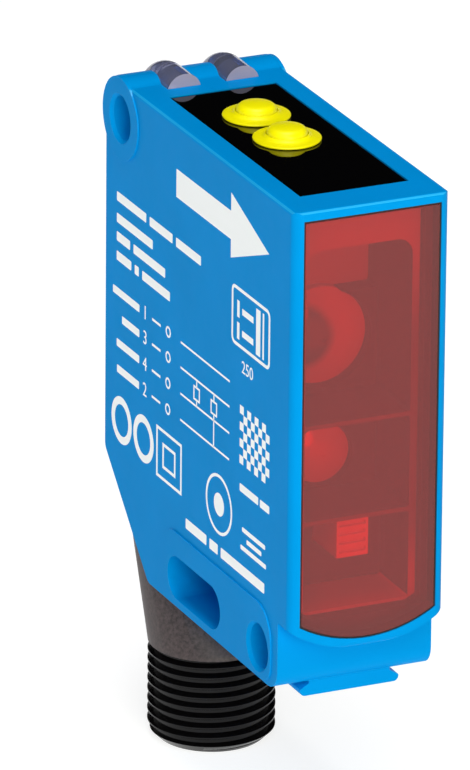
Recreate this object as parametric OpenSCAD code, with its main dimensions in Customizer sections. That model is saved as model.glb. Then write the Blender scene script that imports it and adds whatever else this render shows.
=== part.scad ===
// Compact photoelectric sensor in a die-cast housing, with a swivelling M12 plug.
// Every module below works in the housing's own drawing frame: X across the housing, Y back from
// the front face and Z up from the top face. place() then moves it so that the origin lies on the
// axis of the upper mounting hole, half way through the housing.

/* [Housing] */
// Width over the raised mounting pads
body_w = 15.6; // [15:0.1:17]
// Height that the mounting pads stand proud of the side faces
pad_h = 0.15; // [0.1:0.01:0.25]
// Depth from the front face to the rear wall
body_d = 41.4; // [41:0.1:43]
// Height from the bottom face to the top face
body_h = 46.8; // [46:0.1:48]
// Length of the 45 degree chamfer on the lower rear corner, along each face
rear_chamfer = 10; // [9.5:0.1:10.5]
// How far the lug under the front window sits behind the front face
lug_set_back = 2.7; // [2:0.1:3]
// Thickness of the side walls
side_wall = 1.4; // [1.2:0.1:1.6]
// Thickness of the wall that the plug swivels in
port_wall = 2.5; // [2.2:0.1:2.8]

/* [Mounting] */
// Diameter of the mounting holes, for an M4 screw
hole_d = 4.2; // [4.1:0.1:4.4]
// Distance of the upper hole behind the front face
upper_hole_y = 38; // [37.8:0.1:38.2]
// Depth of the upper hole below the top face
upper_hole_z = 3.5; // [3.4:0.1:3.6]
// Radius of the rounded ear around the upper hole
ear_r = 4; // [3.9:0.1:4.1]
// Distance of the lower hole behind the front face
lower_hole_y = 6.8; // [6.6:0.1:7.2]
// Depth of the lower hole and of the slot below the top face
lower_hole_z = 43.8; // [43.6:0.1:44]
// Overall length of the mounting slot
slot_l = 11.7; // [10:0.1:12]
// Distance of the slot's middle behind the front face
slot_y = 20.8; // [20.6:0.1:21.5]
// Height of the dovetail rail under the housing
rail_h = 1.2; // [1:0.1:1.5]

/* [Window] */
// Width of the front window
window_w = 13.1; // [12.5:0.1:13.3]
// Distance of the window's top edge below the top face
window_top = 1.05; // [0.9:0.05:1.3]
// Depth of the window's lowest point below the top face
window_bottom = 41.4; // [41:0.1:41.6]
// Radius of the window's lower edge
window_arc_r = 12.4; // [12:0.1:14]
// Thickness of the window
window_t = 1.4; // [1.2:0.1:1.5]

/* [Controls] */
// Width of the black control panel
panel_w = 10.6; // [10:0.1:11]
// Distance of the panel's front edge behind the front face
panel_front = 4.05; // [3.8:0.05:4.5]
// Distance of the panel's rear edge behind the front face
panel_rear = 32.6; // [32:0.1:33]
// Outer diameter of a button's flexible collar
collar_d = 6.3; // [6:0.1:6.4]
// Diameter of a button's dome
dome_d = 3.8; // [3.4:0.1:4]
// Height of a button's dome above the panel
dome_h = 1.25; // [1:0.05:1.4]
// Travel of a button
button_travel = 0.35; // [0.2:0.05:0.35]
// Distance of the front button behind the front face
front_button_y = 18.45; // [17:0.05:19]
// Distance between the two buttons
button_pitch = 6.65; // [6.6:0.05:7.5]

/* [Plug] */
// Outer diameter of the plug's thread
thread_d = 12; // [11.9:0.01:12]
// Length of the threaded sleeve
thread_l = 9.4; // [9:0.1:9.6]
// Depth of the plug's end face below the top face
plug_end_z = 63.9; // [63.5:0.1:64.2]
// Radius of the swivel's round foot
foot_r = 6.8; // [6.4:0.1:6.9]
// Radius of the swivel's neck
neck_r = 4.5; // [4:0.1:4.6]
// Radius of the circle that the contact pins stand on
pin_circle_r = 2.5; // [2.3:0.1:2.6]

/* [Hidden] */
$fn = 64;

button_y = [front_button_y, front_button_y + button_pitch];
half_w = body_w / 2;                    // to the face of a mounting pad
side_x = half_w - pad_h;                // to the plain side face
eps = 0.01;                             // overlap of two solids that are joined
fit_gap = 0.03;                         // gap around a part that is glued or pressed in
hole_r = hole_d / 2;
rim = 0.3;                              // chamfer around each hole
window_arc_z = window_arc_r - window_bottom;
window_seat = 1.6;                      // depth of the recess that the window lies in
seal_w = 0.18;                          // width of the seal around the window
frame_arc_r = window_arc_r + 1;         // lower edge of the frame around the window
frame_bottom = window_bottom + 1;
cavity_x = side_x - side_wall;
cavity_front = 2.6;
cavity_rear = body_d - 1.4;
cavity_top = 1.9;
cavity_bottom = 39.9;
boss_front = upper_hole_y - hole_r - 0.6;
boss_bottom = 8.2;
panel_seat = 1.3;                       // depth of the recess that the panel lies in
panel_t = 0.9;
panel_top = 0.1;                        // depth of the panel's face below the top face
panel_ledge = 0.7;                      // width of the ledge under the panel
collar_t = 0.3;
board_t = 0.8;
control_board_z = 5.4;                  // depth of the control board's underside
switch_h = 1.1;
plunger_lift = 0.6;                     // height of a plunger's lower end above the board
plunger_r = 0.8;
stem_r = 1.2;
stem_z = 2.9;                           // depth of a stem's lower end, on its plunger
guide_x = 2.9;                          // distance of each light guide from the middle
guide_r = 1.7;
guide_ring_r = 3.05;                    // radius that the guide's section is swept on
guide_floor_r = 2.9;                    // flat underside of the section
guide_front = 34.6;
guide_stem = [2.4, 0.65];               // width and depth of the stem down to the LED
guide_step = 0.01;                      // how much slimmer the straight part is
guide_lap = 0.05;                       // how far it reaches into the curved part
carrier_rear = 21;
carrier_step = 13.5;                    // the carrier is lower behind here, under the board
carrier_rim = 0.9;                      // width of the carrier's front face beside its pockets
divider_z = [21.5, 30.7];               // depth of the two walls between the pockets
receiver_z = 16.4;
receiver_r = 4.6;
emitter_z = 27.6;
emitter_r = 2.9;
lens_front = 10;
insert_z = 33.1;
insert_h = 3.8;
insert_front = 3.5;
insert_seat = 8.6;                      // depth of the pocket that the insert stands in
port_mid = [body_d - rear_chamfer / 2, -(body_h - rear_chamfer / 2)];
plug_y = port_mid[0] - 2.5;             // the plug's axis behind the front face
swivel_gap = 0.25;
foot_t = 0.9;
retainer_t = 0.8;
thread_top = plug_end_z - thread_l;
socket_r = 4.7;
socket_l = 7.5;

// ---- helpers -------------------------------------------------------------------------------

// Moves the drawing frame so that the origin lies on the upper mounting hole
module place() {
    translate([0, -upper_hole_y, upper_hole_z]) children();
}

// Extrudes a shape drawn in Y and Z along X, between two stations
module across(x0, x1) {
    translate([x0, 0, 0]) rotate([90, 0, 90]) linear_extrude(x1 - x0) children();
}

// Extrudes a shape drawn in X and Z along Y, between two stations
module along_y(y0, y1) {
    translate([0, y1, 0]) rotate([90, 0, 0]) linear_extrude(y1 - y0) children();
}

// A block given by its lowest and highest corners
module block(low, high) {
    translate(low) cube(high - low);
}

// A cylinder across the housing, centred on a point of the side view
module cross_pin(y, z, r, length) {
    translate([0, y, z]) rotate([0, 90, 0]) cylinder(r = r, h = length, center = true);
}

// A hole right across the housing, with a chamfered rim at each pad
module cross_hole(y, z) {
    cross_pin(y, z, hole_r, body_w + 1);
    for (side = [-1, 1])
        translate([side * half_w, y, z]) rotate([0, side * 90, 0])
            translate([0, 0, -rim]) cylinder(r1 = hole_r, r2 = hole_r + 2 * rim, h = 2 * rim);
}

// Puts a shape on the swivel's axis, with local Z pointing out of the chamfer
module on_swivel() {
    translate([0, port_mid[0], port_mid[1]]) rotate([-135, 0, 0]) children();
}

function unit(v) = v / norm(v);

// The points that round one corner of an outline; n chords replace the corner
function corner(before, p, after, r, n = 6) =
    let (d1 = unit(before - p), d2 = unit(after - p), half = acos(d1 * d2) / 2,
         c = p + unit(d1 + d2) * r / sin(half), from = p + d1 * r / tan(half) - c,
         to = p + d2 * r / tan(half) - c, start = atan2(from[1], from[0]),
         turn = atan2(to[1], to[0]) - start,
         sweep = turn > 180 ? turn - 360 : turn < -180 ? turn + 360 : turn)
    [for (i = [0 : n]) c + r * [cos(start + sweep * i / n), sin(start + sweep * i / n)]];

// An outline from corners given as [a, b, radius]
function rounded(pts) =
    let (n = len(pts), xy = [for (p = pts) [p[0], p[1]]])
    [for (i = [0 : n - 1]) each (pts[i][2] == 0 ? [xy[i]]
        : corner(xy[(i + n - 1) % n], xy[i], xy[(i + 1) % n], pts[i][2]))];

// ---- housing -------------------------------------------------------------------------------

// Side view of the housing without its ear
module side_view() {
    polygon(rounded([
        [0, 0, 0.4],
        [0, -frame_bottom, 0.6],
        [lug_set_back, -frame_bottom, 0.4],
        [lug_set_back, -body_h, 2],
        [body_d - rear_chamfer, -body_h, 1.2],
        [body_d, -(body_h - rear_chamfer), 1.2],
        [body_d, -upper_hole_z, 0],
        [upper_hole_y, 0, 0]
    ]));
}

// Plan view, with the upright edges rounded
module plan_view() {
    polygon(rounded([[-side_x, 0, 1.1], [side_x, 0, 1.1], [side_x, 50, 0], [-side_x, 50, 0]]));
}

// Front view, with the long upper edges eased
module front_view() {
    polygon(rounded([[-side_x, 0, 0.45], [side_x, 0, 0.45], [side_x, -50, 0], [-side_x, -50, 0]]));
}

// The roll across the top of the rear wall, and its blend into the top face
module ear() {
    ease = 0.35;
    blend_r = 3;
    blend_y = sqrt(pow(ear_r + blend_r, 2) - pow(blend_r + upper_hole_z, 2));
    translate([0, upper_hole_y, -upper_hole_z]) rotate([0, 90, 0]) rotate_extrude()
        polygon(rounded([[0, -side_x, 0], [ear_r, -side_x, ease], [ear_r, side_x, ease],
                         [0, side_x, 0]]));
    across(-side_x + ease, side_x - ease) translate([upper_hole_y, -upper_hole_z]) difference() {
        polygon([[-blend_y, 0], [0, 0], [-blend_y, blend_r + upper_hole_z]]);
        translate([-blend_y, blend_r + upper_hole_z - 0.03]) circle(blend_r);
    }
}

// The faces that a bracket bears on, proud of each side
module pads() {
    cross_pin(upper_hole_y, -upper_hole_z, ear_r - 0.05, body_w);
    pad_end = slot_y + slot_l / 2 + 0.9;
    pad_front = lower_hole_y - 2.8;
    across(-half_w, half_w) polygon(rounded([
        [pad_front, -(body_h - 0.3), 1.6],
        [pad_front, -39.4, 3.2],
        [pad_end, -39.4, 2.2],
        [pad_end, -(body_h - 0.3), 0]
    ]));
}

// The dovetail rail under the housing
module rail() {
    root = 4;
    foot = 4.9;
    along_y(lug_set_back + 1, 25) polygon(rounded([
        [-root, -body_h + 0.5, 0],
        [-root, -body_h, 0],
        [-foot, -body_h - 0.55, 0.2],
        [-foot, -body_h - rail_h, 0.5],
        [foot, -body_h - rail_h, 0.5],
        [foot, -body_h - 0.55, 0.2],
        [root, -body_h, 0],
        [root, -body_h + 0.5, 0]
    ]));
}

// Outline of the window in the front view, grown by g
module window_outline(g) {
    intersection() {
        translate([-window_w / 2 - g, -50]) square([window_w + 2 * g, 50 - window_top + g]);
        union() {
            translate([-10, -35]) square([20, 40]);
            translate([0, window_arc_z]) circle(window_arc_r + g);
        }
    }
}

// Outline of the panel in plan view, grown by g
module panel_outline(g) {
    translate([-panel_w / 2 - g, panel_front - g])
        square([panel_w + 2 * g, panel_rear - panel_front + 2 * g]);
}

// The space inside the housing
module cavity() {
    slant = body_d + body_h - rear_chamfer - port_wall * sqrt(2);
    across(-cavity_x, cavity_x) polygon([
        [cavity_front, -cavity_top],
        [boss_front, -cavity_top],
        [boss_front, -boss_bottom],
        [cavity_rear, -boss_bottom],
        [cavity_rear, cavity_rear - slant],
        [slant - cavity_bottom, -cavity_bottom],
        [cavity_front, -cavity_bottom]
    ]);
}

// A half-round clear bar that lies on the ear and runs forward onto the top face
module light_guide(x, g) {
    module section(grow) {
        intersection() {
            translate([guide_ring_r, 0]) circle(guide_r + grow);
            translate([guide_floor_r - grow, -3]) square([4, 6]);
        }
    }
    translate([x, upper_hole_y, -upper_hole_z]) {
        rotate([0, 90, 0]) rotate([0, 0, 70]) rotate_extrude(angle = 110) section(g);
        // the straight part is a touch slimmer, and starts just inside the curved part
        translate([0, guide_lap, 0]) rotate([90, 0, 0])
            linear_extrude(upper_hole_y - guide_front + g + guide_lap)
                rotate(90) section(g - guide_step);
    }
    block([x - guide_stem[0] / 2 - g, guide_front + guide_step - g,
           -(control_board_z - board_t - 0.6 + g)],
          [x + guide_stem[0] / 2 + g, guide_front + guide_step + guide_stem[1] + g,
           guide_floor_r + 0.3 - upper_hole_z]);
}

module housing() {
    color("#0080cc") place() difference() {
        union() {
            intersection() {
                across(-side_x, side_x) side_view();
                translate([0, 0, -50]) linear_extrude(51) plan_view();
                along_y(-1, 50) front_view();
            }
            ear();
            pads();
            rail();
        }
        // lower edge of the frame around the window
        along_y(-1, lug_set_back) difference() {
            translate([-10, -50]) square([20, 14]);
            translate([0, window_arc_z]) circle(frame_arc_r);
        }
        cavity();
        // window seat, and the opening behind it
        along_y(-1, window_seat) window_outline(seal_w);
        along_y(0, cavity_front + eps) intersection() {
            window_outline(-0.7);
            translate([-10, -cavity_bottom]) square([20, 50]);
        }
        // panel seat, and the opening under it
        translate([0, 0, -panel_seat]) linear_extrude(5) panel_outline(fit_gap);
        translate([0, 0, -cavity_top - eps]) linear_extrude(5) panel_outline(-panel_ledge);
        cross_hole(upper_hole_y, -upper_hole_z);
        cross_hole(lower_hole_y, -lower_hole_z);
        // mounting slot
        across(-10, 10) {
            run = slot_l / 2 - hole_r;
            translate([slot_y - run, -lower_hole_z - hole_r]) square([2 * run, hole_d]);
            for (end = [-1, 1]) translate([slot_y + end * run, -lower_hole_z]) circle(hole_r);
        }
        for (side = [-1, 1]) light_guide(side * guide_x, fit_gap);
        // port for the swivel's neck, and the counterbore for its retaining ring
        on_swivel() {
            translate([0, 0, -port_wall - 2]) cylinder(r = neck_r + 0.05, h = 10);
            translate([0, 0, -port_wall - 2.2]) cylinder(r = neck_r + 0.9, h = 2.25);
        }
    }
}

// ---- window and controls -------------------------------------------------------------------

module front_window() {
    color("#b8262a", 0.6) place() along_y(0.05, 0.05 + window_t) window_outline(0);
}

module window_seal() {
    color("#15151f") place() along_y(0.12, window_seat) difference() {
        window_outline(seal_w - fit_gap);
        window_outline(fit_gap);
    }
}

module top_panel() {
    color("#0a0a0c") place() difference() {
        translate([0, 0, -panel_top - panel_t]) linear_extrude(panel_t) panel_outline(0);
        for (y = button_y) translate([0, y, -3]) cylinder(r = dome_d / 2 + 0.35, h = 5);
    }
}

module panel_gasket() {
    color("#303036") place() translate([0, 0, -panel_seat]) linear_extrude(0.27) difference() {
        panel_outline(-0.05);
        panel_outline(-panel_ledge);
    }
}

// Flexible ring around a button, fixed in the panel
module button_collar(y) {
    sleeve_r = dome_d / 2 + 0.3;
    bore_r = dome_d / 2 + 0.05;
    color("#f5e800") place() translate([0, y, -panel_top]) rotate_extrude() polygon([
        [bore_r, -panel_t],
        [sleeve_r, -panel_t],
        [sleeve_r, 0.02],
        [collar_d / 2 - 0.1, 0.02],
        [collar_d / 2, 0.12],
        [collar_d / 2 - 0.1, collar_t - 0.08],
        [sleeve_r + 0.5, collar_t],
        [bore_r, collar_t]
    ]);
}

// Dome of a button, with the stem that presses the switch
module teach_button(y) {
    dome_r = dome_d / 2;
    crown = 0.75;
    color("#f5e800") place() translate([0, y, 0]) rotate_extrude() union() {
        polygon(concat(
            [[0, -stem_z], [stem_r, -stem_z], [stem_r, -1.7], [dome_r, -0.9]],
            [for (a = [0 : 15 : 90]) [dome_r - crown + crown * cos(a),
                                      dome_h - crown + crown * sin(a)]],
            [[0, dome_h]]));
    }
}

// Plunger of a switch, which moves with its button
module switch_plunger(y) {
    color("#2c2c30") place() translate([0, y, -(control_board_z - board_t) + plunger_lift])
        cylinder(r = plunger_r, h = control_board_z - board_t - plunger_lift - stem_z);
}

module switch_body(y) {
    top = switch_h - control_board_z + board_t;
    color("#c8c8c8") place() difference() {
        block([-1.7, y - 1.7, -(control_board_z - board_t)], [1.7, y + 1.7, top]);
        translate([0, y, -(control_board_z - board_t) + 0.1])
            cylinder(r = plunger_r + 0.06, h = 3);
    }
}

module light_guide_left() { color("#c8c0d8", 0.6) place() light_guide(-guide_x, 0); }
module light_guide_right() { color("#c8c0d8", 0.6) place() light_guide(guide_x, 0); }

// Surface-mounted LED under a light guide
module indicator_led(x) {
    color("#f0f0e0") place() block(
        [x - 0.8, guide_front, -(control_board_z - board_t)],
        [x + 0.8, guide_front + guide_stem[1], -(control_board_z - board_t) + 0.5]);
}

module control_board() {
    color("#1c6b3a") place() block(
        [-cavity_x + 0.3, carrier_step + 0.6, -control_board_z],
        [cavity_x - 0.3, boss_front - 0.05, -(control_board_z - board_t)]);
}

// ---- optics --------------------------------------------------------------------------------

// Bore along the light path, from one station to another
module light_bore(z, r, y0, y1) {
    translate([0, y1, -z]) rotate([90, 0, 0]) cylinder(r = r, h = y1 - y0);
}

// A pocket in the front of the carrier, from its floor up to its roof, with rounded upper corners
module pocket(floor_z, roof_z, depth, r) {
    w = cavity_x - carrier_rim - 0.15;
    along_y(0, depth) polygon(rounded([[-w, -roof_z, r], [w, -roof_z, r],
                                       [w, -floor_z, 0.3], [-w, -floor_z, 0.3]]));
}

// Black frame behind the window that holds the lenses and keeps the two light paths apart
module optics_carrier() {
    x = cavity_x - 0.15;
    front = cavity_front + 0.1;
    wall = 0.4;
    color("#3a3a40") place() difference() {
        union() {
            block([-x, front, -(cavity_bottom - 0.2)], [x, carrier_step, -(cavity_top + 0.2)]);
            block([-x, carrier_step - 1, -(cavity_bottom - 0.2)],
                  [x, carrier_rear, -(control_board_z + 0.8)]);
        }
        // the receiver's pocket is deeper above the lens
        pocket(divider_z[0], 4.9, lens_front, 1.5);
        pocket(receiver_z - receiver_r + 0.3, 4.91, lens_front + 2, 1.5);
        pocket(divider_z[1], divider_z[0] + wall, lens_front, 0.3);
        pocket(cavity_bottom - 0.5, divider_z[1] + wall, insert_seat, 0.3);
        block([-1.6, 0, -insert_z - insert_h / 2 - 0.05],
              [1.6, insert_seat + 1, -insert_z + insert_h / 2 + 0.05]);
        light_bore(receiver_z, receiver_r + fit_gap, 0, lens_front + 2.4);
        light_bore(receiver_z, receiver_r - 0.9, 0, 50);
        light_bore(emitter_z, emitter_r + fit_gap, 0, lens_front + 2);
        light_bore(emitter_z, emitter_r - 0.7, 0, 50);
    }
}

// Plano-convex lens with its round face to the front
module lens(z, r, sag, edge) {
    ball = (r * r + sag * sag) / (2 * sag);
    place() translate([0, lens_front + sag + edge, -z]) rotate([90, 0, 0]) rotate_extrude()
        intersection() {
            square([r, edge + sag]);
            translate([0, edge + sag - ball]) circle(ball);
        }
}

module receiver_lens() { color("#d05050", 0.7) lens(receiver_z, receiver_r, 1.2, 1.1); }
module emitter_lens() { color("#d05050", 0.7) lens(emitter_z, emitter_r, 0.8, 1.1); }

module alignment_insert() {
    low = -insert_z - insert_h / 2;
    color("#a04040") place() difference() {
        block([-1.55, insert_front, low], [1.55, insert_seat + 0.95, low + insert_h]);
        for (i = [0 : 3]) block([-1.3, 0, low + 0.4 + 0.85 * i],
                                [1.3, insert_front + 0.4, low + 0.8 + 0.85 * i]);
    }
}

module optics_board() {
    color("#1c6b3a") place() block(
        [-cavity_x + 0.3, carrier_rear + 0.3, -(cavity_bottom - 0.4)],
        [cavity_x - 0.3, carrier_rear + 0.3 + board_t, -(control_board_z + 0.6)]);
}

module receiver_element() {
    color("#22242c") place() block([-2, carrier_rear - 0.7, -receiver_z - 1.5],
                                   [2, carrier_rear + 0.3, -receiver_z + 1.5]);
}

module emitter_led() {
    color("#e8e0d0") place() {
        block([-1.2, carrier_rear - 0.3, -emitter_z - 1.2],
              [1.2, carrier_rear + 0.3, -emitter_z + 1.2]);
        light_bore(emitter_z, 0.9, carrier_rear - 1.1, carrier_rear - 0.3 + eps);
    }
}

module logic_board() {
    x = cavity_x - 1.6;
    front = carrier_rear + 3;
    color("#1c6b3a") place() {
        block([x, front, -32], [x + board_t, cavity_rear - 0.5, -(boss_bottom + 0.6)]);
        // processor, memory and output driver
        for (chip = [[27, -13, 5], [33, -20, 4], [27, -26, 3.4]])
            block([x - 1, chip[0], chip[1] - chip[2]], [x + eps, chip[0] + chip[2], chip[1]]);
    }
}

// Header that joins the logic board to the optics board
module board_link() {
    x = cavity_x - 1.6;
    color("#202024") place() block([x - 1.3, carrier_rear + 0.3 + board_t, -24],
                                   [x - 0.05, carrier_rear + 5, -16]);
}

// ---- plug ----------------------------------------------------------------------------------

// Elbow between the chamfer and the plug
module swivel_body() {
    color("#1a1a1c") place() difference() {
        union() {
            hull() {
                on_swivel() translate([0, 0, swivel_gap]) cylinder(r = foot_r, h = foot_t, $fn = 40);
                translate([0, plug_y, -thread_top])
                    cylinder(r = thread_d / 2 - 0.02, h = 0.5, $fn = 40);
            }
            on_swivel() translate([0, 0, -port_wall - 1.7])
                cylinder(r = neck_r, h = port_wall + 1.7 + swivel_gap + eps);
        }
        // grooves for the seal and for the retaining ring
        on_swivel() for (z = [-1.6, -port_wall - 0.1 - retainer_t]) translate([0, 0, z])
            difference() {
                cylinder(r = neck_r + 1, h = retainer_t);
                cylinder(r = neck_r - 0.6, h = retainer_t);
            }
    }
}

module swivel_seal() {
    section = 0.31;
    color("#101010") place() on_swivel() translate([0, 0, -1.6 + retainer_t / 2])
        rotate_extrude() translate([neck_r - section + 0.035, 0]) circle(section, $fn = 24);
}

module swivel_retainer() {
    color("#c0c0c4") place() on_swivel() translate([0, 0, -port_wall - 0.1 - retainer_t + 0.05])
        difference() {
            cylinder(r = neck_r + 0.7, h = retainer_t - 0.1);
            translate([0, 0, -1]) cylinder(r = neck_r - 0.57, h = 3);
            block([-1, 0, -1], [1, 10, 3]);
        }
}

// Sleeve that carries the M12 x 1 thread; its plain outside is the thread's major diameter
module thread_sleeve() {
    r = thread_d / 2;
    ease = 0.9;
    color("#151517") place() translate([0, plug_y, -plug_end_z]) {
        rotate_extrude() polygon([
            [socket_r, 0],
            [r - ease, 0],
            [r, ease],
            [r, thread_l - 0.01],
            [3, thread_l - 0.01],
            [3, thread_l - 0.6],
            [socket_r, thread_l - 0.6]
        ]);
        // coding key inside the socket
        translate([-0.4, -socket_r - 0.2, 1.4]) cube([0.8, 0.75, socket_l - 1.45]);
    }
}

module contact_insert() {
    top = thread_l - 0.63;
    color("#202022") place() translate([0, plug_y, -plug_end_z + socket_l]) difference() {
        cylinder(r = socket_r - fit_gap, h = top - socket_l);
        for (i = [0 : 3]) rotate([0, 0, 45 + 90 * i]) translate([pin_circle_r, 0, -1])
            cylinder(r = 0.52, h = 5, $fn = 24);
    }
}

module contact_pins() {
    color("#d8b860") place() translate([0, plug_y, -plug_end_z]) for (i = [0 : 3])
        rotate([0, 0, 45 + 90 * i]) translate([pin_circle_r, 0, 2]) {
            translate([0, 0, 0.3]) cylinder(r = 0.5, h = thread_l - 2.3 - 0.7, $fn = 24);
            cylinder(r1 = 0.25, r2 = 0.5, h = 0.3, $fn = 24);
        }
}

// ---- nodes ---------------------------------------------------------------------------------

housing();
front_window();
window_seal();
top_panel();
panel_gasket();
button_collar(button_y[0]);  // button_collar_front
button_collar(button_y[1]);  // button_collar_rear
teach_button(button_y[0]);  // teach_button_front
teach_button(button_y[1]);  // teach_button_rear
switch_plunger(button_y[0]);  // switch_plunger_front
switch_plunger(button_y[1]);  // switch_plunger_rear
switch_body(button_y[0]);  // switch_front
switch_body(button_y[1]);  // switch_rear
light_guide_left();
light_guide_right();
indicator_led(-guide_x);  // indicator_led_left
indicator_led(guide_x);  // indicator_led_right
control_board();
optics_carrier();
receiver_lens();
emitter_lens();
alignment_insert();
optics_board();
receiver_element();
emitter_led();
logic_board();
board_link();
swivel_body();
swivel_seal();
swivel_retainer();
thread_sleeve();
contact_insert();
contact_pins();
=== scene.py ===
"""Looks of the compact photoelectric sensor: a blue die-cast housing with a red window, a black
panel with two yellow buttons, two clear light guides, and a black swivel plug with an M12 thread.

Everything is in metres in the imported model's frame. Sizes are written in millimetres in the
housing's own drawing frame and turned into that frame by at(): x across, y back from the front
face and z up from the top face.
"""

import math

import bpy
from mathutils import Matrix, Vector


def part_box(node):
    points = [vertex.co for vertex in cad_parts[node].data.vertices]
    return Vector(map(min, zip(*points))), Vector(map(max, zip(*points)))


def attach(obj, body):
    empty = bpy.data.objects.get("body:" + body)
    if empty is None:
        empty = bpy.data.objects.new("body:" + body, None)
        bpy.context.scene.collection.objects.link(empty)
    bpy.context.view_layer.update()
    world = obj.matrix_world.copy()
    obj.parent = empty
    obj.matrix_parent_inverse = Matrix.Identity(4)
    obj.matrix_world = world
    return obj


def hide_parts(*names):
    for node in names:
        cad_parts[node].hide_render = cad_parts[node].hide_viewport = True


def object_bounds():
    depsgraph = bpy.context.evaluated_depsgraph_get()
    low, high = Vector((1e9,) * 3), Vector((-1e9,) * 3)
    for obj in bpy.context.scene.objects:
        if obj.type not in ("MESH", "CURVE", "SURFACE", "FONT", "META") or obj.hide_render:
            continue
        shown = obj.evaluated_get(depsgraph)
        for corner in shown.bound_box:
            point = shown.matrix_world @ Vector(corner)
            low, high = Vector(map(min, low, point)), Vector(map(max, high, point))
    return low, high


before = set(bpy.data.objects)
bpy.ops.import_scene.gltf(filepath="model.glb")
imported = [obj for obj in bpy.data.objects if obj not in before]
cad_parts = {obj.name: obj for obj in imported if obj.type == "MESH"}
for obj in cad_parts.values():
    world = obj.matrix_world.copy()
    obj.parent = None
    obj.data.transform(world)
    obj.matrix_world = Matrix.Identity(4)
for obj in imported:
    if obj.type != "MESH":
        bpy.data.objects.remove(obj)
cad_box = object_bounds()

MM = 0.001

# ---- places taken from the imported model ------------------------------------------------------

PANEL_SINK = 0.1       # the panel's face lies this far under the top face
WINDOW_SINK = 0.05     # and the window's this far behind the front face
PAD_STANDS = 0.15      # the mounting pads stand this far proud of the side faces
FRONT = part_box("front_window")[0].y - WINDOW_SINK * MM
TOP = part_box("top_panel")[1].z + PANEL_SINK * MM
SIDE = -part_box("housing")[0].x / MM - PAD_STANDS


def at(x, y, z):
    """A point of the housing's drawing frame, in mm, as a point of the model's frame."""
    return Vector((x * MM, FRONT + y * MM, TOP + z * MM))


def drawn(point):
    """The other way: a point of the model's frame in the drawing frame, in mm."""
    return Vector((point.x / MM, (point.y - FRONT) / MM, (point.z - TOP) / MM))


def middle(node):
    """The centre of a CAD node's box, in the drawing frame, in mm."""
    low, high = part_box(node)
    return drawn((low + high) / 2)


BUTTON_Y = [middle("button_collar_front").y, middle("button_collar_rear").y]
PLUG = middle("thread_sleeve")
PLUG_END = drawn(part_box("thread_sleeve")[0]).z
THREAD_TOP = drawn(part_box("thread_sleeve")[1]).z
THREAD_R = (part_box("thread_sleeve")[1].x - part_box("thread_sleeve")[0].x) / 2 / MM

# ---- materials -------------------------------------------------------------------------------


def colour(code):
    """An sRGB hex colour as linear red, green, blue and alpha."""
    parts = [int(code[i : i + 2], 16) / 255 for i in (1, 3, 5)]
    return (*[c / 12.92 if c <= 0.04045 else ((c + 0.055) / 1.055) ** 2.4 for c in parts], 1.0)


def add(tree, kind, settings=None, links=None, **properties):
    """Adds a node: properties on the node, settings on its sockets, and links into its sockets."""
    made = tree.nodes.new("ShaderNode" + kind)
    for name, value in properties.items():
        setattr(made, name, value)
    for name, value in (settings or {}).items():
        made.inputs[name].default_value = value
    for name, source in (links or {}).items():
        tree.links.new(source, made.inputs[name])
    return made


def material(name, **shader):
    """A material with one Principled shader, whose settings are given by socket name."""
    made = bpy.data.materials.new(name)
    made.use_nodes = True
    made.node_tree.nodes.clear()
    principled = add(made.node_tree, "BsdfPrincipled", shader)
    add(made.node_tree, "OutputMaterial", links={"Surface": principled.outputs[0]})
    return made, made.node_tree, principled


def ramp(tree, source, stops):
    """A colour ramp over a value, with (position, hex colour) stops."""
    made = add(tree, "ValToRGB", links={"Fac": source})
    band = made.color_ramp
    while len(band.elements) < len(stops):
        band.elements.new(0.5)
    for element, (place, code) in zip(band.elements, stops):
        element.position = place
        element.color = colour(code)
    return made.outputs["Color"]


def grain(tree, size, detail=2.0, roughness=0.5, stretch=(1, 1, 1)):
    """Noise over the object whose features are about size mm across."""
    place = add(tree, "TexCoord")
    turned = add(tree, "Mapping", {"Scale": stretch}, {"Vector": place.outputs["Object"]})
    return add(
        tree,
        "TexNoise",
        {"Scale": 1 / (size * MM), "Detail": detail, "Roughness": roughness},
        {"Vector": turned.outputs["Vector"]},
    ).outputs["Fac"]


def vary(tree, principled, socket, noise, low, high):
    """Spreads a noise over a socket, from low to high. Most of a noise lies between 0.3 and 0.7."""
    spread = add(
        tree, "MapRange", {"From Min": 0.3, "From Max": 0.7, "To Min": low, "To Max": high},
        {"Value": noise},
    )
    tree.links.new(spread.outputs["Result"], principled.inputs[socket])


def relief(tree, principled, source, height):
    """Gives a surface the small height, in mm, of a pattern."""
    bump = add(tree, "Bump", {"Strength": 1.0, "Distance": height * MM}, {"Height": source})
    tree.links.new(bump.outputs["Normal"], principled.inputs["Normal"])


PEEL = 0.002           # the height of a coat's or a moulding's fine unevenness, in mm


def powder_coated_die_cast(name, deep, light, gloss):
    """Polyester powder coat on die-cast metal: a satin film whose blue drifts slightly over
    centimetres, with the faint half-millimetre orange peel of sprayed powder."""
    made, tree, skin = material(name, **{"Specular IOR Level": gloss, "IOR": 1.5})
    drift = grain(tree, 9.0)
    tree.links.new(
        ramp(tree, drift, [(0.35, deep), (0.65, light)]), skin.inputs["Base Color"]
    )
    vary(tree, skin, "Roughness", grain(tree, 1.5), 0.36, 0.44)
    relief(tree, skin, grain(tree, 0.5, detail=1.0), PEEL)
    return made


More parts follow.
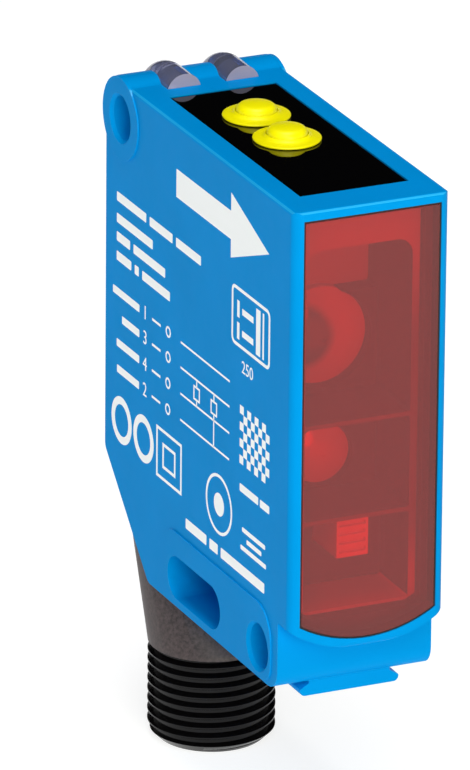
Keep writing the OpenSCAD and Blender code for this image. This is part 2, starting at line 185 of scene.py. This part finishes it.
def red_acrylic():
    """Red-tinted acrylic, injection moulded and clear: it lets red light through both ways, and
    its faces add a pale reddish veil."""
    made = bpy.data.materials.new("red_tinted_acrylic")
    made.use_nodes = True
    tree = made.node_tree
    tree.nodes.clear()
    face = add(
        tree, "BsdfPrincipled",
        {"Base Color": colour("#cc888c"), "Roughness": 0.12, "IOR": 1.49,
         "Specular IOR Level": 0.3},
    )
    through = add(tree, "BsdfTransparent", {"Color": colour("#fa2c24")})
    both = add(
        tree, "MixShader", {"Fac": 0.17},
        {1: through.outputs[0], 2: face.outputs[0]},
    )
    add(tree, "OutputMaterial", links={"Surface": both.outputs[0]})
    return made


def plain_moulding(name, code, rough, mottle=0.02, peel=0.3, **extra):
    """A moulded plastic or rubber part: even colour, with a fine mottle in its gloss and an
    unevenness that is peel mm across."""
    made, tree, skin = material(name, **{"Base Color": colour(code), **extra})
    vary(tree, skin, "Roughness", grain(tree, 0.8), rough - mottle, rough + mottle)
    relief(tree, skin, grain(tree, peel, detail=1.0), PEEL)
    return made


def black_glass_filled_nylon(name, deep, light, gloss, smooth, rough):
    """Black glass-filled nylon, moulded: satin, with the faint grain of its short fibres."""
    made, tree, skin = material(name, **{"IOR": 1.53, "Specular IOR Level": gloss})
    fibres = grain(tree, 0.35, detail=3.0, roughness=0.7)
    tree.links.new(
        ramp(tree, fibres, [(0.35, deep), (0.7, light)]), skin.inputs["Base Color"]
    )
    vary(tree, skin, "Roughness", fibres, smooth, rough)
    relief(tree, skin, fibres, 0.006)
    return made


def lens_over_dark_chamber():
    """Moulded acrylic lens in front of a dark chamber: its rim is painted pale, lighter towards the
    edge, as painted light. The chamber behind it is painted on as a soft round shadow, to the left
    of the lens's middle."""
    made, tree, skin = material(
        "moulded_lens_with_painted_shadow", **{"Roughness": 0.12, "Specular IOR Level": 1.0}
    )
    # the dark round and the pale rim of the ramp below are painted shadow and painted light
    shadow, lens_r = at(-2.2, 8, -16.1), 6.0
    place = add(tree, "TexCoord")
    moved = add(tree, "Mapping", {"Location": -shadow}, {"Vector": place.outputs["Object"]})
    flat = add(tree, "VectorMath", {1: (1 / MM, 0, 1 / MM)}, {0: moved.outputs[0]},
               operation="MULTIPLY")
    away = add(tree, "VectorMath", {}, {0: flat.outputs[0]}, operation="LENGTH")
    reach = add(tree, "MapRange", {"From Min": 0.0, "From Max": lens_r},
                {"Value": away.outputs["Value"]})
    tree.links.new(
        ramp(tree, reach.outputs["Result"],
             [(0.0, "#3a3432"), (0.42, "#3a3432"), (0.58, "#d8ccc6"), (0.8, "#e6dad4")]),
        skin.inputs["Base Color"],
    )
    return made


def shaded_moulded_frame():
    """Moulded grey polyester with a dull face: pale at the top and foot of the optics frame, and
    painted darker beside its pockets, as painted shade."""
    made, tree, skin = material("grey_polyester_with_painted_shade", **{"Roughness": 0.5})
    foot, top = at(0, 0, -40).z, at(0, 0, -2).z
    # the pale tone is the frame's own grey; the darker tone is painted shade
    pale, painted_shade = "#b4aeaa", "#625d5a"
    place = add(tree, "TexCoord")
    split = add(tree, "SeparateXYZ", links={"Vector": place.outputs["Object"]})
    height = add(tree, "MapRange", {"From Min": foot, "From Max": top},
                 {"Value": split.outputs["Z"]})
    tree.links.new(
        ramp(tree, height.outputs["Result"],
             [(0.0, pale), (0.06, pale), (0.2, painted_shade), (0.68, painted_shade), (0.9, pale)]),
        skin.inputs["Base Color"],
    )
    return made


def green_solder_mask():
    """Green solder mask, screened over etched copper tracks: semi-gloss, in two greens that
    meet at darker 3 mm lines."""
    made, tree, skin = material("green_solder_mask", **{"Roughness": 0.35})
    place = add(tree, "TexCoord")
    tracks = add(
        tree, "TexBrick",
        {"Scale": 1 / (3.0 * MM), "Color1": colour("#1c6b3a"), "Color2": colour("#237a43"),
         "Mortar": colour("#0f4a26"), "Mortar Size": 0.03},
        {"Vector": place.outputs["Object"]},
    )
    tree.links.new(tracks.outputs["Color"], skin.inputs["Base Color"])
    return made


def sheet_metal(name, code, rough):
    """Rolled sheet or drawn wire: metal with the fine streaks of rolling."""
    made, tree, skin = material(name, **{"Base Color": colour(code), "Metallic": 1.0})
    vary(tree, skin, "Roughness", grain(tree, 0.3, stretch=(1, 1, 8)), rough, rough + 0.12)
    return made


def clear_polycarbonate(name, code, through, rough):
    """Clear polycarbonate light guide, moulded and polished: it bends what lies under it, and
    its thickness gives it a faint lilac cast. Its frosted end spreads the light."""
    made, tree, skin = material(
        name, **{"Base Color": colour(code), "IOR": 1.58, "Transmission Weight": through}
    )
    vary(tree, skin, "Roughness", grain(tree, 0.6), rough, rough + 0.04)
    return made


# the housing's coat, and the same coat painted lighter over its edges as a painted highlight, where
# it is also glossier
PAINT = powder_coated_die_cast("powder_coated_die_cast", "#0089d3", "#008cd8", 0.012)
EDGE_HIGHLIGHT_PAINT = powder_coated_die_cast("powder_coat_painted_edge_highlight", "#149ddd", "#1ca4e2", 0.3)
WINDOW = red_acrylic()
# cast acrylic, polished: a deep black that mirrors the buttons
PANEL = plain_moulding("polished_black_acrylic", "#050506", 0.04, 0.01, 2.0,
                       **{"Specular IOR Level": 0.8})
# moulded silicone: soft, saturated yellow with hardly any highlight
SILICONE = plain_moulding("yellow_silicone_rubber", "#f4ea00", 0.42, 0.04, 0.3,
                          **{"Specular IOR Level": 0.25})
# moulded seals are matt, and moulded polyester is a little smoother
RUBBER = plain_moulding("black_nitrile_rubber", "#0c0c10", 0.6)
DARK_PBT = plain_moulding("dark_moulded_polyester", "#1d1d20", 0.45)
# the elbow as moulded, grey with fibres at its skin, and the thread as turned, black and glossy
NYLON = black_glass_filled_nylon("black_glass_filled_nylon", "#322a2b", "#56494a", 0.35,
                                 0.42, 0.6)
THREAD = black_glass_filled_nylon("black_turned_nylon", "#040304", "#0a090b", 0.22, 0.16, 0.26)
# the optics frame: bare moulding, its front with painted shade beside the pockets, and black
# painted shade inside the pockets
CARRIER = plain_moulding("grey_moulded_polyester", "#b4aeaa", 0.4)
FRAME = shaded_moulded_frame()
# black painted shade for the inside of the frame's pockets
POCKET_SHADE = plain_moulding("matt_black_painted_pocket_shade", "#131212", 0.7)
# the light guides: clear along their length, and frosted at the front ends
GUIDE = clear_polycarbonate("clear_polycarbonate", "#b4b8dc", 0.82, 0.03)
GUIDE_END = clear_polycarbonate("frosted_polycarbonate", "#b7aec8", 0.3, 0.3)
BOARD = green_solder_mask()
TINPLATE = sheet_metal("tinned_switch_shell", "#c9c9c6", 0.28)
SPRING = sheet_metal("spring_steel_ring", "#a9a9ac", 0.25)
GOLD = sheet_metal("gold_plated_contact", "#d9b25a", 0.2)
# moulded LED bodies are a satin cream, and moulded lenses are pale and shiny
LED = plain_moulding("cream_led_body", "#ece6d2", 0.35)
LENS = plain_moulding("moulded_lens_acrylic", "#eee6e2", 0.12, **{"Specular IOR Level": 1.0})
# the large lens, with a painted shadow and a painted light rim
PAINTED_SHADOW_LENS = lens_over_dark_chamber()
# screened epoxy ink: an even, dull white
INK = plain_moulding("white_pad_print_ink", "#fafdff", 0.5, **{"Specular IOR Level": 0.3})

# ---- tools -----------------------------------------------------------------------------------


def only(piece):
    """Makes one object the selected and active one."""
    bpy.ops.object.select_all(action="DESELECT")
    piece.select_set(True)
    bpy.context.view_layer.objects.active = piece


WELD = 0.0002          # loose corners closer than this many mm are one corner
FLAT = 0.6             # faces that turn less than this many degrees are one face
ROUND_STEPS = 96       # the flats round a turned piece
SPUN_WELD = 0.0005     # a spun or screwed mesh's seam closes at this many mm


def weld(piece):
    """Merges an object's loose corners."""
    only(piece)
    bpy.ops.object.mode_set(mode="EDIT")
    bpy.ops.mesh.select_all(action="SELECT")
    bpy.ops.mesh.remove_doubles(threshold=WELD * MM)
    bpy.ops.object.mode_set(mode="OBJECT")


def copy_of(node, name, edge=0.0, smooth=32, edge_finish=None):
    """A welded copy of a CAD node, with its sharp edges eased by edge mm. The eased faces may
    have a finish of their own, in the copy's slot 1."""
    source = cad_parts[node]
    piece = bpy.data.objects.new(name, source.data.copy())
    bpy.context.scene.collection.objects.link(piece)
    only(piece)
    if piece.data.has_custom_normals:
        bpy.ops.mesh.customdata_custom_splitnormals_clear()
    bpy.ops.object.mode_set(mode="EDIT")
    bpy.ops.mesh.select_all(action="SELECT")
    bpy.ops.mesh.remove_doubles(threshold=WELD * MM)
    bpy.ops.mesh.dissolve_limited(angle_limit=math.radians(FLAT))
    bpy.ops.object.mode_set(mode="OBJECT")
    if edge:
        ease = piece.modifiers.new("ease", "BEVEL")
        ease.width = edge * MM
        ease.segments = 2
        ease.limit_method = "ANGLE"
        ease.angle_limit = math.radians(40)
        ease.miter_outer = "MITER_ARC"
        if edge_finish:
            piece.data.materials.append(edge_finish)
            ease.material = 1
        bpy.ops.object.modifier_apply(modifier="ease")
    bpy.ops.object.shade_smooth_by_angle(angle=math.radians(smooth))
    even = piece.modifiers.new("even", "WEIGHTED_NORMAL")
    even.keep_sharp = True
    even.weight = 80
    bpy.ops.object.modifier_apply(modifier="even")
    return piece


def outline(name, points):
    """A chain of edges through points of the model's frame, drawn one corner after another."""
    bpy.ops.object.select_all(action="DESELECT")
    bpy.ops.mesh.primitive_plane_add(size=MM, location=points[0])
    piece = bpy.context.object
    piece.name = name
    bpy.ops.object.transform_apply(location=True, rotation=True, scale=True)
    bpy.ops.object.mode_set(mode="EDIT")
    bpy.ops.mesh.merge(type="CENTER")
    for here, there in zip(points, points[1:]):
        bpy.ops.mesh.extrude_region_move(TRANSFORM_OT_translate={"value": there - here})
    bpy.ops.mesh.select_all(action="SELECT")
    bpy.ops.object.mode_set(mode="OBJECT")
    return piece


def turned(name, profile, centre):
    """A solid of revolution about an upright axis. The profile's points are (radius, height) in
    mm, from the axis at its foot to the axis at its top, or a closed ring of points."""
    base = at(*centre)
    piece = outline(name, [base + Vector((r * MM, 0, z * MM)) for r, z in profile])
    only(piece)
    bpy.ops.object.mode_set(mode="EDIT")
    bpy.ops.mesh.select_all(action="SELECT")
    bpy.ops.mesh.spin(steps=ROUND_STEPS, angle=math.tau, center=base, axis=(0, 0, 1))
    bpy.ops.mesh.select_all(action="SELECT")
    bpy.ops.mesh.remove_doubles(threshold=SPUN_WELD * MM)
    bpy.ops.mesh.normals_make_consistent(inside=False)
    bpy.ops.object.mode_set(mode="OBJECT")
    bpy.ops.object.shade_smooth_by_angle(angle=math.radians(32))
    return piece


def arc(centre, r, start, end, steps=6):
    """Points of an arc from start to end degrees, as (radius, height)."""
    turns = [math.radians(start + (end - start) * i / steps) for i in range(steps + 1)]
    return [(centre[0] + r * math.cos(turn), centre[1] + r * math.sin(turn)) for turn in turns]


def keep_common(piece, other):
    """Keeps what two closed solids have in common, in the first, and removes the second."""
    only(piece)
    step = piece.modifiers.new("common", "BOOLEAN")
    step.operation = "INTERSECT"
    step.object = other
    step.solver = "EXACT"
    bpy.ops.object.modifier_apply(modifier="common")
    bpy.data.objects.remove(other)


def place_piece(piece, body, finish, slot, *stands_for):
    """Gives a piece its material and its body, and hides the CAD nodes that it stands for. The slot
    is not used.
    """
    if not piece.data.materials:
        piece.data.materials.append(finish)
    piece.data.materials[0] = finish
    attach(piece, body)
    if stands_for:
        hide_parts(*stands_for)


def finish_node(node, finish):
    """Gives a CAD node that is shown as it is its material."""
    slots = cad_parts[node].material_slots
    for one in slots:
        one.material = finish
    if not slots:
        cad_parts[node].data.materials.append(finish)


# ---- camera, floor and lights ----------------------------------------------------------------

VIEW_AZIMUTH = -24.51
VIEW_ELEVATION = 21.11
VIEW_ROLL = 0.54
VIEW_DISTANCE = 959.0          # from the camera to the point that it aims at
AIM = at(-3.54, 21.46, -24.36)
FOCAL_LENGTH = 493.3           # a long lens, on the default sensor's long side


def towards(azimuth, elevation):
    """A direction by its azimuth, 0 at the front, and its elevation, both in degrees."""
    a, e = math.radians(azimuth), math.radians(elevation)
    return Vector((math.sin(a) * math.cos(e), -math.cos(a) * math.cos(e), math.sin(e)))


def make_camera():
    """A camera with a long lens, rolled a little about its line of sight."""
    back = towards(VIEW_AZIMUTH, VIEW_ELEVATION)
    bpy.ops.object.camera_add(location=AIM + back * VIEW_DISTANCE * MM)
    camera = bpy.context.object
    camera.name = "camera"
    camera.data.lens = FOCAL_LENGTH
    camera.data.clip_start = 0.01
    camera.data.clip_end = 100
    camera.rotation_mode = "QUATERNION"
    aimed = (-back).to_track_quat("-Z", "Y")
    roll = Matrix.Rotation(math.radians(VIEW_ROLL), 4, "Z").to_quaternion()
    camera.rotation_quaternion = aimed @ roll
    bpy.context.scene.camera = camera


def make_floor():
    """A white, softly backlit table, and a low white wall far behind it, which fills the
    background of the low views. The wall reaches just below the table, so no gap shows."""
    low = cad_box[0].z - 0.00002
    reach, wall_reach, wall_height, overlap = 14, 1.97, 0.2, 0.001
    bpy.ops.mesh.primitive_circle_add(vertices=96, radius=reach, fill_type="NGON",
                                      location=(0, 0, low))
    floor = bpy.context.object
    floor.name = "floor"
    bpy.ops.mesh.primitive_cylinder_add(vertices=96, radius=wall_reach, depth=wall_height,
                                        end_fill_type="NOTHING",
                                        location=(0, 0, low + wall_height / 2 - overlap))
    wall = bpy.context.object
    wall.name = "wall"
    # opal acrylic lit from below: pale enough to keep a soft shadow, and bright all over
    opal = material(
        "white_light_table",
        **{"Base Color": colour("#a0a0a0"), "Roughness": 0.9, "Specular IOR Level": 0.0,
           "Emission Color": colour("#ffffff"), "Emission Strength": 0.82},
    )[0]
    for backdrop in (floor, wall):
        backdrop.data.materials.append(opal)


def make_light(name, azimuth, elevation, distance, size, power, tint="#ffffff"):
    """A round softbox that faces the housing's middle. Distance and size are in metres."""
    away = towards(azimuth, elevation)
    bpy.ops.object.light_add(type="AREA", location=at(0, 20, -22) + away * distance)
    light = bpy.context.object
    light.name = name
    light.data.shape = "DISK"
    light.data.color = colour(tint)[:3]
    light.data.size = size
    light.data.energy = power
    light.rotation_mode = "QUATERNION"
    light.rotation_quaternion = (-away).to_track_quat("-Z", "Y")


def make_studio():
    """A dark room, so that all light comes from the table and three softboxes."""
    scene = bpy.context.scene
    scene.view_settings.view_transform = "Standard"
    world = bpy.data.worlds.new("studio_walls")
    world.use_nodes = True
    world.node_tree.nodes["Background"].inputs["Color"].default_value = colour("#ffffff")
    world.node_tree.nodes["Background"].inputs["Strength"].default_value = 0.0
    scene.world = world
    make_light("key_softbox", -32, 38, 0.9, 0.45, 2.9, "#f7fbff")
    make_light("front_softbox", -8, 12, 1.0, 0.5, 5.4, "#ffffda")
    make_light("top_softbox", -20, 80, 0.9, 0.4, 5.0)


make_camera()
make_floor()
make_studio()

# ---- pieces ----------------------------------------------------------------------------------


def make_shell():
    """The die-cast housing. Its eased edges, and the narrow faces that turn from the top to the
    sides and the front, take a lighter coat as a painted highlight."""
    shell = copy_of("housing", "housing_shell", edge=0.1, edge_finish=EDGE_HIGHLIGHT_PAINT)
    place_piece(shell, "sensor_body", PAINT, "housing_paint", "housing")
    band = 0.5
    # the slanted faces along the top's outer edges take the lighter coat: a painted highlight
    for face in shell.data.polygons:
        centre = drawn(face.center)
        turn = sorted(abs(part) for part in face.normal)
        slanted = turn[0] < 0.3 and turn[1] > 0.5
        outer = abs(centre.x) > SIDE - band or centre.y < band
        if slanted and outer and centre.z > -band:
            face.material_index = 1


def make_window_and_panel():
    """The red window and the black control panel, with finely broken edges."""
    place_piece(copy_of("front_window", "window_pane", edge=0.06), "sensor_body", WINDOW,
                "window_red", "front_window")
    place_piece(copy_of("top_panel", "control_panel", edge=0.1), "sensor_body", PANEL,
                "panel_black", "top_panel")


def make_guides():
    """The two clear light guides over the rear roll. The faces at their front are frosted."""
    for side in ("left", "right"):
        guide = copy_of(f"light_guide_{side}", f"indicator_guide_{side}", edge=0.1)
        place_piece(guide, "sensor_body", GUIDE, "guide_clear", f"light_guide_{side}")
        guide.data.materials.append(GUIDE_END)
        for face in guide.data.polygons:
            face.material_index = 1 if face.normal.y < -0.8 else 0


def make_elbow():
    """The swivelling elbow between the lower rear chamfer and the plug."""
    place_piece(copy_of("swivel_body", "swivel_elbow", smooth=40), "plug", NYLON, "plug_black",
                "swivel_body")


def make_carrier():
    """The optics frame. Its pockets are painted black, as painted shade, apart from the wall above
    the large lens and the floor of the lowest pocket, which face the light and stay bare grey."""
    carrier = copy_of("optics_carrier", "lens_carrier", edge=0.12)
    place_piece(carrier, "sensor_body", CARRIER, "plastic_dark", "optics_carrier")
    for finish in (FRAME, POCKET_SHADE):
        carrier.data.materials.append(finish)
    bare, front, shaded_slot = 0, 1, 2
    front_y = drawn(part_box("optics_carrier")[0]).y + 0.3
    wall_z, floor_z = -12.2, -34.0
    # faces that face the light keep the grey, and the rest of the pockets take black painted shade
    for face in carrier.data.polygons:
        centre = drawn(face.center)
        lit_wall = face.normal.y < -0.9 and centre.z > wall_z
        lit_floor = face.normal.z > 0.6 and centre.z < floor_z
        if centre.y < front_y:
            face.material_index = front
        elif lit_wall or lit_floor:
            face.material_index = bare
        else:
            face.material_index = shaded_slot


def make_buttons():
    """Each button is a dome, flat on top with a rounded rim, that slides in a collar: a thin
    brim that lies on the panel, and a low lip around the dome."""
    dome_top = drawn(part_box("teach_button_front")[1]).z
    stem_end = drawn(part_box("teach_button_front")[0]).z
    stem_r, dome_r, rim_r = 1.2, 1.9, 0.72
    bore_r, sleeve_r, sleeve_end, brim_under = 1.95, 2.2, -1.0, -0.07
    for place, y in zip(("front", "rear"), BUTTON_Y):
        dome = turned(
            f"button_{place}",
            [(0, stem_end), (stem_r, stem_end), (stem_r, -1.7), (dome_r, -0.9), (dome_r, 0.35)]
            + arc((dome_r - rim_r, dome_top - 0.82), rim_r, 8, 82)
            + [(0.55, dome_top - 0.02), (0, dome_top)],
            (0, y, 0),
        )
        place_piece(dome, f"{place}_button", SILICONE, "button_yellow", f"teach_button_{place}")
        brim = turned(
            f"button_brim_{place}",
            [(bore_r, sleeve_end), (sleeve_r, sleeve_end), (sleeve_r, brim_under),
             (3.02, brim_under)]
            + arc((3.03, 0.045), 0.11, -80, 80, 5)
            + [(2.75, 0.17), (2.5, 0.2), (2.32, 0.24), (2.18, 0.31), (2.08, 0.42), (2.01, 0.52),
               (bore_r, 0.52), (bore_r, sleeve_end)],
            (0, y, 0),
        )
        place_piece(brim, "sensor_body", SILICONE, "button_yellow", f"button_collar_{place}")


def make_sleeve():
    """The M12 x 1 sleeve: a turned blank with a long lead-in chamfer, with the thread cut in."""
    pitch, depth, run = 1.0, 0.58, THREAD_TOP - PLUG_END
    root = THREAD_R - depth
    # one tooth, screwed up past both ends and then cut off square just outside the blank
    tooth = [(root, 0), (root, 0.16), (THREAD_R, 0.46), (THREAD_R, 0.58), (root, 0.88), (root, 1)]
    start = at(PLUG.x, PLUG.y, PLUG_END - 1.5 * pitch)
    bolt = outline("thread_form", [start + Vector((r * MM, 0, z * pitch * MM)) for r, z in tooth])
    only(bolt)
    bpy.context.scene.cursor.location = at(PLUG.x, PLUG.y, 0)
    bpy.ops.object.origin_set(type="ORIGIN_CURSOR")
    screw = bolt.modifiers.new("screw", "SCREW")
    screw.screw_offset = pitch * MM
    screw.iterations = math.ceil(run / pitch) + 3
    screw.steps = screw.render_steps = 72
    screw.use_merge_vertices = True
    screw.merge_threshold = 0.001 * MM
    bpy.ops.object.modifier_apply(modifier="screw")
    bpy.ops.object.transform_apply(location=True, rotation=True, scale=True)
    bpy.ops.object.mode_set(mode="EDIT")
    fine = 1e-7            # in metres, because the operator's own 0.1 mm is coarse for a thread
    for z, up in ((PLUG_END - 0.2, False), (THREAD_TOP + 0.2, True)):
        bpy.ops.mesh.select_all(action="SELECT")
        bpy.ops.mesh.bisect(plane_co=at(0, 0, z), plane_no=(0, 0, 1), use_fill=True,
                            clear_outer=up, clear_inner=not up, threshold=fine)
    bpy.ops.mesh.select_all(action="SELECT")
    bpy.ops.mesh.remove_doubles(threshold=SPUN_WELD * MM)
    bpy.ops.mesh.normals_make_consistent(inside=False)
    bpy.ops.object.mode_set(mode="OBJECT")
    lead, socket_r, hole_r, floor_t = 0.9, 4.7, 3, 0.6
    outside_r, neck_r, top = THREAD_R - 0.01, root - 0.02, run - 0.005
    blank = turned(
        "sleeve_blank",
        [(socket_r, 0), (THREAD_R - lead, 0), (outside_r, lead), (outside_r, run - 0.6),
         (neck_r, run - 0.25), (neck_r, top), (hole_r, top),
         (hole_r, run - floor_t), (socket_r, run - floor_t), (socket_r, 0)],
        (PLUG.x, PLUG.y, PLUG_END),
    )
    blank.name = "threaded_sleeve"
    keep_common(blank, bolt)
    only(blank)
    bpy.ops.object.shade_smooth_by_angle(angle=math.radians(20))
    place_piece(blank, "plug", THREAD, "plug_black", "thread_sleeve")


make_shell()
make_window_and_panel()
make_guides()
make_elbow()
make_carrier()
make_buttons()
make_sleeve()

# ---- the white print on the left side --------------------------------------------------------

INK_T = 0.012          # the pad print's thickness, drawn a little thicker than the real film
INK_ROOT = 0.02        # each shape starts this far inside the paint, so that it has no gap
PIN_ROWS = {1: -20.6, 3: -23.05, 4: -25.6, 2: -28.15}


def ink_plate(y_back, y_front, z_top, z_bottom, corner=0.0, line=0.0):
    """Adds a flat rectangle of ink to the mesh in edit mode, with rounded corners, or as an
    outline that is line mm wide."""
    place = at(-SIDE + INK_ROOT, (y_back + y_front) / 2, (z_top + z_bottom) / 2)
    bpy.ops.mesh.primitive_plane_add(size=MM, rotation=(0, -math.pi / 2, 0), location=place)
    bpy.ops.transform.resize(value=(1, y_back - y_front, z_top - z_bottom),
                             center_override=place)
    if corner:
        bpy.ops.mesh.bevel(offset=corner * MM, segments=4, affect="VERTICES")
    raise_ink(line)


def ink_disc(y, z, r, line=0.0):
    """Adds a flat disc of ink, or a ring that is line mm wide."""
    bpy.ops.mesh.primitive_circle_add(vertices=40, radius=r * MM, fill_type="NGON",
                                      rotation=(0, -math.pi / 2, 0),
                                      location=at(-SIDE + INK_ROOT, y, z))
    raise_ink(line)


def raise_ink(line=0.0):
    """Opens the new plate into an outline, if it is one, and lifts it off the paint. Finished
    shapes are hidden, so that only the newest one is at hand."""
    if line:
        bpy.ops.mesh.inset(thickness=line * MM)
        bpy.ops.mesh.delete(type="ONLY_FACE")
        bpy.ops.mesh.select_all(action="SELECT")
    bpy.ops.mesh.extrude_region_move(
        TRANSFORM_OT_translate={"value": (-(INK_T + INK_ROOT) * MM, 0, 0)}
    )
    bpy.ops.mesh.select_all(action="SELECT")
    bpy.ops.mesh.hide()


def new_print(name):
    """Starts an empty mesh and goes into edit mode in it."""
    bpy.ops.object.select_all(action="DESELECT")
    bpy.ops.mesh.primitive_plane_add(size=MM)
    piece = bpy.context.object
    piece.name = name
    bpy.ops.object.mode_set(mode="EDIT")
    bpy.ops.mesh.delete(type="VERT")
    return piece


def done_print(piece):
    """Shows all the shapes of a print again, and gives it its ink."""
    bpy.ops.mesh.reveal()
    bpy.ops.mesh.select_all(action="SELECT")
    bpy.ops.mesh.normals_make_consistent(inside=False)
    bpy.ops.object.mode_set(mode="OBJECT")
    place_piece(piece, "sensor_body", INK, "housing_paint")


def rows_of_bars(height, *rows):
    """Rows of plain bars, height mm high: each row is its place and the ends of its bars."""
    for z, *ends in rows:
        for back, front in zip(ends[::2], ends[1::2]):
            ink_plate(back, front, z + height / 2, z - height / 2, corner=0.12)


def print_arrow():
    """The bold arrow that points at the window."""
    tail, barbs, point = 25.6, 13.6, 5.4
    arrow = outline("print_arrow", [at(-SIDE + INK_ROOT, y, z) for y, z in (
        (tail, -4.25), (barbs, -4.25), (barbs, -2.5), (point, -5.6), (barbs, -8.7),
        (barbs, -6.95), (tail, -6.95))])
    bpy.ops.object.mode_set(mode="EDIT")
    bpy.ops.mesh.edge_face_add()
    raise_ink()
    done_print(arrow)


def print_bars():
    """Plain bars, where a real housing has lines of small print."""
    lines = new_print("print_bars")
    rows_of_bars(0.9, (-11.3, 38.9, 32.3, 31.5, 26.4, 25.6, 20.1), (-13.4, 38.9, 30.8),
                 (-15.2, 38.9, 35.9, 35.1, 28.0), (-17.1, 38.9, 35.6, 34.8, 33.9, 33.1, 26.9))
    rows_of_bars(0.75, (PIN_ROWS[1], 39.7, 33.7), (PIN_ROWS[3], 37.6, 33.7),
                 (PIN_ROWS[4], 38.8, 33.7), (PIN_ROWS[2], 38.7, 33.7),
                 (-29.9, 11.2, 7.2, 6.8, 4.8))
    rows_of_bars(0.45, (-33.8, 10.6, 5.6), (-34.7, 9.6, 6.4), (-35.6, 10.9, 5.4))
    rows_of_bars(1.0, (-37.8, 23.0, 18.4, 17.7, 15.9, 15.2, 5.7))
    done_print(lines)


def print_wiring():
    """The wiring diagram: a dash, a ring and a lead in each pin's row, and two loads between
    the leads."""
    wiring = new_print("print_wiring")
    for z in PIN_ROWS.values():
        ink_plate(30.8, 28.9, z + 0.12, z - 0.12)
        ink_plate(24.4, 13.6, z + 0.1, z - 0.1)
        ink_disc(27.2, z, 0.55, line=0.2)
    load_top, load_foot, load_half, wire_half = -23.7, -25.1, 0.7, 0.1
    loads = {20.8: -25.6, 17.0: -28.15}     # where each load is, and where its wire ends
    for y in loads:
        ink_plate(y + load_half, y - load_half, load_top, load_foot, line=0.2)
    for y, end in loads.items():
        ink_plate(y + wire_half, y - wire_half, -23.1, load_top - 0.05)
        ink_plate(y + wire_half, y - wire_half, load_foot + 0.05, end)
    done_print(wiring)


def print_range():
    """The range pictogram: a sensor and a target in a rounded frame."""
    range_mark = new_print("print_range")
    ink_plate(13.3, 5.0, -10.9, -16.6, corner=0.7, line=0.32)
    for top in (-12.2, -14.3):
        ink_plate(12.1, 11.6, top, top - 1.6)
        ink_plate(11.0, 8.6, top - 0.5, top - 1.1)
    for back, front in ((8.0, 7.1), (6.6, 6.3)):
        ink_plate(back, front, -11.6, -16.0)
    done_print(range_mark)


def print_marks():
    """A plain chequer, two rings, two nested squares and a ring with a dot."""
    marks = new_print("print_marks")
    cell, rows, columns = 0.8, 7, 8
    for row in range(rows):
        top = -22.0 - cell * row
        for column in range(row % 2, columns, 2):
            back = 11.3 - cell * column
            ink_plate(back, back - cell, top, top - cell)
    for y in (37.6, 32.6):
        ink_disc(y, -33.0, 2.3, line=0.75)
    ink_plate(29.7, 24.0, -30.5, -35.5, line=0.3)
    ink_plate(28.3, 25.4, -31.8, -34.3, line=0.3)
    ink_disc(15.7, -33.3, 2.9, line=0.3)
    ink_disc(15.7, -33.3, 1.1)
    done_print(marks)


def printed_number(text, y, z, height):
    """A generic number in ink, such as a pin's, as a mesh on the side face. A digit stands
    about 1/1.4 of the type's size."""
    bpy.ops.object.select_all(action="DESELECT")
    bpy.ops.object.text_add(location=(0, 0, 0))
    number = bpy.context.object
    number.data.body = text
    number.data.align_x = "CENTER"
    number.data.align_y = "CENTER"
    number.data.size = height * MM * 1.4
    number.data.extrude = INK_T * MM
    only(number)
    bpy.ops.object.convert(target="MESH")
    number.name = "print_number_" + text
    weld(number)
    number.rotation_euler = (math.pi / 2, 0, -math.pi / 2)
    number.location = at(-SIDE, y, z)
    bpy.ops.object.transform_apply(location=True, rotation=True, scale=True)
    place_piece(number, "sensor_body", INK, "housing_paint")


print_arrow()
print_bars()
print_wiring()
print_range()
print_marks()
for pin, row_z in PIN_ROWS.items():
    printed_number(str(pin), 32.4, row_z, 1.35)
printed_number("250", 9.8, -18.3, 1.2)

# ---- finishes of the CAD nodes that are shown as they are ------------------------------------

FINISHES = {
    RUBBER: ["window_seal", "panel_gasket", "swivel_seal"],
    DARK_PBT: ["switch_plunger_front", "switch_plunger_rear", "receiver_element", "board_link",
               "contact_insert"],
    TINPLATE: ["switch_front", "switch_rear"],
    LED: ["indicator_led_left", "indicator_led_right", "emitter_led"],
    BOARD: ["control_board", "optics_board", "logic_board"],
    PAINTED_SHADOW_LENS: ["receiver_lens"],
    LENS: ["emitter_lens", "alignment_insert"],
    SPRING: ["swivel_retainer"],
    GOLD: ["contact_pins"],
}
for finish, nodes in FINISHES.items():
    for node in nodes:
        finish_node(node, finish)
